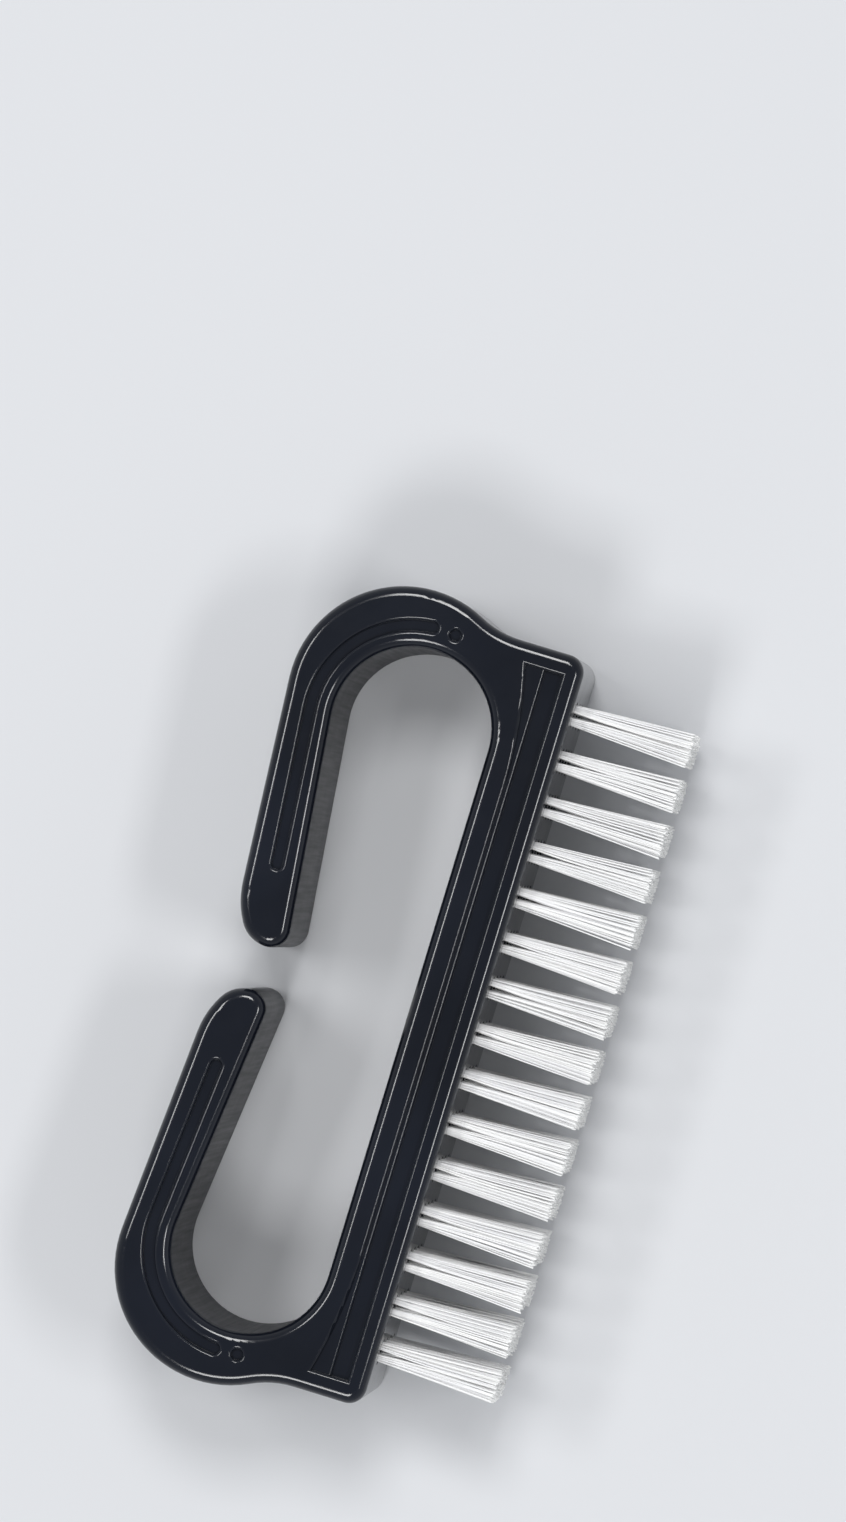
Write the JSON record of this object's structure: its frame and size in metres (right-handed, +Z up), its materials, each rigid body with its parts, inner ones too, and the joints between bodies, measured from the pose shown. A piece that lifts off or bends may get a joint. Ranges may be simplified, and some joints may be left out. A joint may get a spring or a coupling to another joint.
{
  "type": "nail brush",
  "caption": "Small hand brush: a slim block with rows of bristle tufts under an open finger loop whose two arms nearly meet.",
  "frame": {"origin": "middle of the footprint of the brush lying on its side, on the surface it lies on", "axes": "+X along the brush, +Y from the bristles towards the handle, +Z up across its width"},
  "size_m": [0.0898, 0.0442, 0.025],
  "materials": {
    "handle_plastic": "gloss",
    "bristle_nylon": "satin",
    "anchor_wire": "satin"
  },
  "bodies": {
    "brush": {"brush_body": "handle_plastic", "anchor_wires_01": "anchor_wire", "anchor_wires_02": "anchor_wire", "anchor_wires_03": "anchor_wire", "anchor_wires_04": "anchor_wire", "anchor_wires_05": "anchor_wire", "anchor_wires_06": "anchor_wire", "anchor_wires_07": "anchor_wire", "anchor_wires_08": "anchor_wire", "anchor_wires_09": "anchor_wire", "anchor_wires_10": "anchor_wire", "anchor_wires_11": "anchor_wire", "anchor_wires_12": "anchor_wire", "anchor_wires_13": "anchor_wire", "anchor_wires_14": "anchor_wire", "anchor_wires_15": "anchor_wire"},
    "bristles_01": {"tufts_01": "bristle_nylon"},
    "bristles_02": {"tufts_02": "bristle_nylon"},
    "bristles_03": {"tufts_03": "bristle_nylon"},
    "bristles_04": {"tufts_04": "bristle_nylon"},
    "bristles_05": {"tufts_05": "bristle_nylon"},
    "bristles_06": {"tufts_06": "bristle_nylon"},
    "bristles_07": {"tufts_07": "bristle_nylon"},
    "bristles_08": {"tufts_08": "bristle_nylon"},
    "bristles_09": {"tufts_09": "bristle_nylon"},
    "bristles_10": {"tufts_10": "bristle_nylon"},
    "bristles_11": {"tufts_11": "bristle_nylon"},
    "bristles_12": {"tufts_12": "bristle_nylon"},
    "bristles_13": {"tufts_13": "bristle_nylon"},
    "bristles_14": {"tufts_14": "bristle_nylon"},
    "bristles_15": {"tufts_15": "bristle_nylon"}
  },
  "joints": [
    {"name": "bristle_lean_01", "type": "hinge", "parent": "brush", "child": "bristles_01", "pos_m": [-0.0363, -0.00865, 0.0125], "axis": [0, 0, 1], "range_deg": [-20, 20], "stiffness_Nm_per_rad": 0.01, "deforming": ["tufts_01"]},
    {"name": "bristle_lean_02", "type": "hinge", "parent": "brush", "child": "bristles_02", "pos_m": [-0.03111, -0.00865, 0.0125], "axis": [0, 0, 1], "range_deg": [-20, 20], "stiffness_Nm_per_rad": 0.01, "deforming": ["tufts_02"]},
    {"name": "bristle_lean_03", "type": "hinge", "parent": "brush", "child": "bristles_03", "pos_m": [-0.02593, -0.00865, 0.0125], "axis": [0, 0, 1], "range_deg": [-20, 20], "stiffness_Nm_per_rad": 0.01, "deforming": ["tufts_03"]},
    {"name": "bristle_lean_04", "type": "hinge", "parent": "brush", "child": "bristles_04", "pos_m": [-0.02074, -0.00865, 0.0125], "axis": [0, 0, 1], "range_deg": [-20, 20], "stiffness_Nm_per_rad": 0.01, "deforming": ["tufts_04"]},
    {"name": "bristle_lean_05", "type": "hinge", "parent": "brush", "child": "bristles_05", "pos_m": [-0.01556, -0.00865, 0.0125], "axis": [0, 0, 1], "range_deg": [-20, 20], "stiffness_Nm_per_rad": 0.01, "deforming": ["tufts_05"]},
    {"name": "bristle_lean_06", "type": "hinge", "parent": "brush", "child": "bristles_06", "pos_m": [-0.01037, -0.00865, 0.0125], "axis": [0, 0, 1], "range_deg": [-20, 20], "stiffness_Nm_per_rad": 0.01, "deforming": ["tufts_06"]},
    {"name": "bristle_lean_07", "type": "hinge", "parent": "brush", "child": "bristles_07", "pos_m": [-0.00519, -0.00865, 0.0125], "axis": [0, 0, 1], "range_deg": [-20, 20], "stiffness_Nm_per_rad": 0.01, "deforming": ["tufts_07"]},
    {"name": "bristle_lean_08", "type": "hinge", "parent": "brush", "child": "bristles_08", "pos_m": [0, -0.00865, 0.0125], "axis": [0, 0, 1], "range_deg": [-20, 20], "stiffness_Nm_per_rad": 0.01, "deforming": ["tufts_08"]},
    {"name": "bristle_lean_09", "type": "hinge", "parent": "brush", "child": "bristles_09", "pos_m": [0.00519, -0.00865, 0.0125], "axis": [0, 0, 1], "range_deg": [-20, 20], "stiffness_Nm_per_rad": 0.01, "deforming": ["tufts_09"]},
    {"name": "bristle_lean_10", "type": "hinge", "parent": "brush", "child": "bristles_10", "pos_m": [0.01037, -0.00865, 0.0125], "axis": [0, 0, 1], "range_deg": [-20, 20], "stiffness_Nm_per_rad": 0.01, "deforming": ["tufts_10"]},
    {"name": "bristle_lean_11", "type": "hinge", "parent": "brush", "child": "bristles_11", "pos_m": [0.01556, -0.00865, 0.0125], "axis": [0, 0, 1], "range_deg": [-20, 20], "stiffness_Nm_per_rad": 0.01, "deforming": ["tufts_11"]},
    {"name": "bristle_lean_12", "type": "hinge", "parent": "brush", "child": "bristles_12", "pos_m": [0.02074, -0.00865, 0.0125], "axis": [0, 0, 1], "range_deg": [-20, 20], "stiffness_Nm_per_rad": 0.01, "deforming": ["tufts_12"]},
    {"name": "bristle_lean_13", "type": "hinge", "parent": "brush", "child": "bristles_13", "pos_m": [0.02593, -0.00865, 0.0125], "axis": [0, 0, 1], "range_deg": [-20, 20], "stiffness_Nm_per_rad": 0.01, "deforming": ["tufts_13"]},
    {"name": "bristle_lean_14", "type": "hinge", "parent": "brush", "child": "bristles_14", "pos_m": [0.03111, -0.00865, 0.0125], "axis": [0, 0, 1], "range_deg": [-20, 20], "stiffness_Nm_per_rad": 0.01, "deforming": ["tufts_14"]},
    {"name": "bristle_lean_15", "type": "hinge", "parent": "brush", "child": "bristles_15", "pos_m": [0.0363, -0.00865, 0.0125], "axis": [0, 0, 1], "range_deg": [-20, 20], "stiffness_Nm_per_rad": 0.01, "deforming": ["tufts_15"]}
  ],
  "couplings": [
    {"joint": "bristle_lean_01", "follows": "bristle_lean_08", "ratio": 1},
    {"joint": "bristle_lean_02", "follows": "bristle_lean_08", "ratio": 1},
    {"joint": "bristle_lean_03", "follows": "bristle_lean_08", "ratio": 1},
    {"joint": "bristle_lean_04", "follows": "bristle_lean_08", "ratio": 1},
    {"joint": "bristle_lean_05", "follows": "bristle_lean_08", "ratio": 1},
    {"joint": "bristle_lean_06", "follows": "bristle_lean_08", "ratio": 1},
    {"joint": "bristle_lean_07", "follows": "bristle_lean_08", "ratio": 1},
    {"joint": "bristle_lean_09", "follows": "bristle_lean_08", "ratio": 1},
    {"joint": "bristle_lean_10", "follows": "bristle_lean_08", "ratio": 1},
    {"joint": "bristle_lean_11", "follows": "bristle_lean_08", "ratio": 1},
    {"joint": "bristle_lean_12", "follows": "bristle_lean_08", "ratio": 1},
    {"joint": "bristle_lean_13", "follows": "bristle_lean_08", "ratio": 1},
    {"joint": "bristle_lean_14", "follows": "bristle_lean_08", "ratio": 1},
    {"joint": "bristle_lean_15", "follows": "bristle_lean_08", "ratio": 1}
  ]
}
